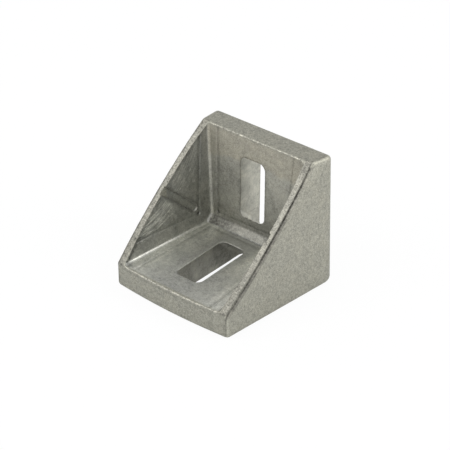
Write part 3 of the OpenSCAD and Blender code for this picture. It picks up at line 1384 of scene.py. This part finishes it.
class Maker:
    """Turns work meshes in millimetres into finished pieces in metres."""

    def __init__(self, box: tuple[Vec, Vec]) -> None:
        """Keeps the CAD box, which nothing passes."""
        self.low, self.high = (np.array(corner) for corner in box)

    @staticmethod
    def evaluated(holder: bpy.types.Object) -> bpy.types.Mesh:
        """Makes an object's result a plain mesh and drops the object.

        Args:
            holder: The object with its modifiers.

        Returns:
            The plain mesh.
        """
        graph = bpy.context.evaluated_depsgraph_get()
        graph.update()
        result = bpy.data.meshes.new_from_object(holder.evaluated_get(graph))
        old = holder.data
        bpy.data.objects.remove(holder)
        bpy.data.meshes.remove(old)
        return result

    @staticmethod
    def holder(name: str, mesh: bpy.types.Mesh) -> bpy.types.Object:
        """Puts a mesh in the scene.

        Args:
            name: Object name.
            mesh: The mesh.

        Returns:
            The object.
        """
        holder = bpy.data.objects.new(name, mesh)
        bpy.context.scene.collection.objects.link(holder)
        return holder

    @staticmethod
    def add_tree(holder: bpy.types.Object, tree: bpy.types.NodeTree, values: dict[str, object]) -> None:
        """Adds a Geometry Nodes modifier and sets its inputs by their identifiers.

        Args:
            holder: The object.
            tree: The tree.
            values: Input values by name.
        """
        modifier = holder.modifiers.new(tree.name, "NODES")
        modifier.node_group = tree
        for item in tree.interface.items_tree:
            if item.in_out == "INPUT" and item.name in values:
                modifier[item.identifier] = values[item.name]

    @staticmethod
    def store(mesh: bpy.types.Mesh, masks: dict[str, np.ndarray]) -> None:
        """Stores masks on a mesh.

        Args:
            mesh: The mesh.
            masks: One value per vertex for each mask.
        """
        for name, values in masks.items():
            layer = mesh.attributes.new(name, "FLOAT", "POINT")
            layer.data.foreach_set("value", values.astype(np.float32))

    def finish(self, name: str, mesh: bpy.types.Mesh, material: bpy.types.Material) -> bpy.types.Object:
        """Scales a work mesh to metres, holds it in the box and names it.

        Args:
            name: Name of the piece.
            mesh: The work mesh.
            material: Its material.

        Returns:
            The finished piece.
        """
        places = np.clip(MeshData.read(mesh).places * MM, self.low, self.high)
        mesh.vertices.foreach_set("co", places.ravel())
        mesh.materials.clear()
        mesh.materials.append(material)
        mesh.shade_smooth()
        mesh.name = name
        mesh.update()
        LOG.info("%s: %d vertices, %d faces", name, len(mesh.vertices), len(mesh.polygons))
        return self.holder(name, mesh)


@dataclass(frozen=True)
class FlashEdges:
    """The two edges where the pocket runs out and flash stands, in millimetres."""

    sizes: BracketSizes
    first: float = 0.8
    last: float = 0.3
    step: float = 0.4
    reach: float = 0.2
    rise: float = 0.06
    within: float = 1.0
    drop: float = 1.2

    def mesh(self, data: MeshData) -> bpy.types.Mesh:
        """Follows both edges over the even mesh.

        Args:
            data: The even mesh's data.

        Returns:
            A mesh of two open lines.
        """
        s = self.sizes
        x, y, z = data.places.T
        outward = (z - y) / math.sqrt(2)
        half = s.rim_low_half - s.gusset_low
        lip = (y < s.face_y + self.within) & (z > s.lip_height - self.drop)
        top = (z > s.height - self.drop) & (y < s.rim_high[0] + self.within)
        points, edges = [], []
        for place in (lip, top):
            line = []
            for at in np.arange(self.first - half, half - self.last, self.step):
                near = np.flatnonzero(place & (np.abs(x - at) < self.reach))
                best = near[np.argmax(outward[near])]
                line.append((at, y[best] + self.rise, z[best] - self.rise))
            edges += [(len(points) + i, len(points) + i + 1) for i in range(len(line) - 1)]
            points += line
        mesh = bpy.data.meshes.new("flash_lines")
        mesh.from_pydata(points, edges, [])
        return mesh


@dataclass(frozen=True)
class Casting:
    """The visible casting: the CAD form with tumbled edges, pocket borders and surface masks."""

    maker: Maker
    material: bpy.types.Material
    node: bpy.types.Object
    sizes: BracketSizes = BracketSizes()
    merge: float = 1e-4
    voxel: float = 0.13
    triangles: int = 190000
    seed: int = 7
    # The flash takes the rim finish, full edge brightening and a little painted light.
    flash_masks: tuple[tuple[str, float], ...] = (("rim", 1.0), ("edge", 1.0), ("painted_light", 0.15))

    def _remeshed(self) -> bpy.types.Mesh:
        """Merges a copy of the CAD mesh and meshes it evenly, in millimetres.

        Returns:
            The even mesh.
        """
        work = bmesh.new()
        work.from_mesh(self.node.data)
        bmesh.ops.scale(work, vec=(1 / MM,) * 3, verts=work.verts)
        bmesh.ops.remove_doubles(work, verts=work.verts, dist=self.merge)
        mesh = bpy.data.meshes.new("casting_work")
        work.to_mesh(mesh)
        work.free()
        holder = self.maker.holder("casting_work", mesh)
        remesh = holder.modifiers.new("even", "REMESH")
        remesh.mode = "VOXEL"
        remesh.voxel_size = self.voxel
        remesh.use_smooth_shade = True
        return self.maker.evaluated(holder)

    def _casting(self, mesh: bpy.types.Mesh, data: MeshData) -> bpy.types.Object:
        """Marks the even mesh, gives it its skin and thins it.

        Args:
            mesh: The even mesh.
            data: Its data.

        Returns:
            The casting.
        """
        surface = SurfaceMasks(Surface(data, self.sizes))
        masks = surface.masks()
        mesh.vertices.foreach_set("co", surface.places().ravel())
        self.maker.store(mesh, masks)
        mesh.update()
        holder = self.maker.holder("casting_skin", mesh)
        self.maker.add_tree(holder, SkinTree().build(), {"Material": self.material, "Seed": self.seed})
        thin = holder.modifiers.new("thin", "DECIMATE")
        thin.ratio = self.triangles / (2 * len(mesh.polygons))
        return self.maker.finish("bracket_casting", self.maker.evaluated(holder), self.material)

    def _flash(self, lines: bpy.types.Mesh) -> bpy.types.Object:
        """Runs the bead of flash along its lines.

        Args:
            lines: The lines.

        Returns:
            The flash.
        """
        holder = self.maker.holder("flash_work", lines)
        self.maker.add_tree(holder, FlashTree().build(), {"Material": self.material})
        flash = self.maker.evaluated(holder)
        count = len(flash.vertices)
        self.maker.store(flash, {name: np.full(count, value) for name, value in self.flash_masks})
        return self.maker.finish("edge_flash", flash, self.material)

    def build(self) -> tuple[bpy.types.Object, bpy.types.Object]:
        """Makes the casting and its flash.

        Returns:
            Both objects.
        """
        mesh = self._remeshed()
        data = MeshData.read(mesh)
        lines = FlashEdges(self.sizes).mesh(data)
        return self._casting(mesh, data), self._flash(lines)


@dataclass(frozen=True)
class Lamp:
    """One soft square lamp aimed at the object, in metres and watts."""

    name: str
    place: Vec
    size: float
    watts: float
    colour: Vec = (1.0, 1.0, 1.0)
    target: Vec = (0.0, 0.0, 0.018)

    def build(self) -> None:
        """Hangs the lamp."""
        data = bpy.data.lights.new(self.name, "AREA")
        data.size, data.energy, data.color = self.size, self.watts, self.colour
        lamp = bpy.data.objects.new(self.name, data)
        lamp.location = self.place
        aim = Vector(self.target) - Vector(self.place)
        lamp.rotation_euler = aim.to_track_quat("-Z", "Y").to_euler()
        bpy.context.scene.collection.objects.link(lamp)


@dataclass(frozen=True)
class Studio:
    """Plain pale floor, soft lamps and a white surround."""

    floor_half: float = 1.2
    floor_drop: float = 0.00003
    floor_colour: Colour = (0.92, 0.92, 0.92, 1.0)
    floor_rough: float = 0.9
    floor_share: float = 0.94
    floor_in_metal: float = 0.25
    surround: Colour = (0.97, 0.98, 1.0, 1.0)
    surround_strength: float = 0.85
    lamps: tuple[Lamp, ...] = (
        Lamp("key", (0.95, 0.45, 0.40), 0.6, 3.0, (1.0, 0.99, 0.96)),
        Lamp("glint", (0.69, 0.37, 0.78), 0.3, 1.1),
        Lamp("fill", (-0.35, -0.55, 0.75), 0.6, 2.6))

    def _stage_white(self, n: NodeTree, plain: bpy.types.Node, white: bpy.types.Node, share: float = 1.0,
                     in_metal: float = 1.0) -> bpy.types.NodeSocket:
        """Shows white to the camera, also in metal, and lights matt things with the plain shader.

        Args:
            n: The node tree.
            plain: The shader that matt things see.
            white: The white shader.
            share: How much of the white the camera sees.
            in_metal: How much of it shows in metal and glass.

        Returns:
            The mixed shader's socket.
        """
        rays = n.add("LightPath").outputs
        mirrored = n.math("MAXIMUM", rays["Is Glossy Ray"], rays["Is Transmission Ray"])
        seen = n.math("MAXIMUM", n.times(rays["Is Camera Ray"], share), n.times(mirrored, in_metal))
        return n.add("MixShader", {0: seen, 1: plain.outputs[0], 2: white.outputs[0]}).outputs[0]

    def world(self) -> None:
        """Makes the white surround."""
        world = bpy.data.worlds.new("surround")
        bpy.context.scene.world = world
        world.use_nodes = True
        n = NodeTree(world.node_tree)
        plain = n.add("Background", {"Color": self.surround, "Strength": self.surround_strength})
        white = n.add("Background", {"Color": WHITE, "Strength": 1.0})
        n.link(n.tree.nodes["World Output"].inputs, {"Surface": self._stage_white(n, plain, white)})

    def floor(self) -> bpy.types.Object:
        """Makes the floor, white with a faint shadow, and clear from below.

        Returns:
            The floor.
        """
        h, z = self.floor_half, -self.floor_drop
        mesh = bpy.data.meshes.new("floor")
        mesh.from_pydata([(-h, -h, z), (h, -h, z), (h, h, z), (-h, h, z)], [], [(0, 1, 2, 3)])
        floor = bpy.data.objects.new("floor", mesh)
        bpy.context.scene.collection.objects.link(floor)
        mat = bpy.data.materials.new("pale_floor")
        mat.use_nodes = True
        n = NodeTree(mat.node_tree)
        matt = n.tree.nodes["Principled BSDF"]
        matt.inputs["Base Color"].default_value = self.floor_colour
        matt.inputs["Roughness"].default_value = self.floor_rough
        white = n.add("Emission", {"Color": WHITE, "Strength": 1.0})
        mixed = self._stage_white(n, matt, white, self.floor_share, self.floor_in_metal)
        clear = n.add("BsdfTransparent").outputs[0]
        under = n.add("NewGeometry").outputs["Backfacing"]
        sided = n.add("MixShader", {0: under, 1: mixed, 2: clear}).outputs[0]
        n.link(n.tree.nodes["Material Output"].inputs, {"Surface": sided})
        mesh.materials.append(mat)
        return floor

    def build(self) -> None:
        """Sets up the surround, the floor and the lamps."""
        self.world()
        self.floor()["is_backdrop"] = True
        for lamp in self.lamps:
            lamp.build()
        bpy.context.scene.view_settings.view_transform = "Standard"


def main() -> None:
    """Builds the camera, the studio and the dressed casting."""
    logging.basicConfig(level=logging.INFO, format="%(name)s: %(message)s")
    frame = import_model()
    cad_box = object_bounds()
    CameraRig().build()
    LOG.info("camera placed")
    Studio().build()
    LOG.info("studio lit")
    material = CastMaterial(ShaderGroups()).build()
    casting, flash = Casting(Maker(cad_box), material, frame["nodes"][NODE]).build()
    for piece in (casting, flash):
        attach(piece, BODY)
    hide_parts(NODE)


if __name__ == "__main__":
    main()
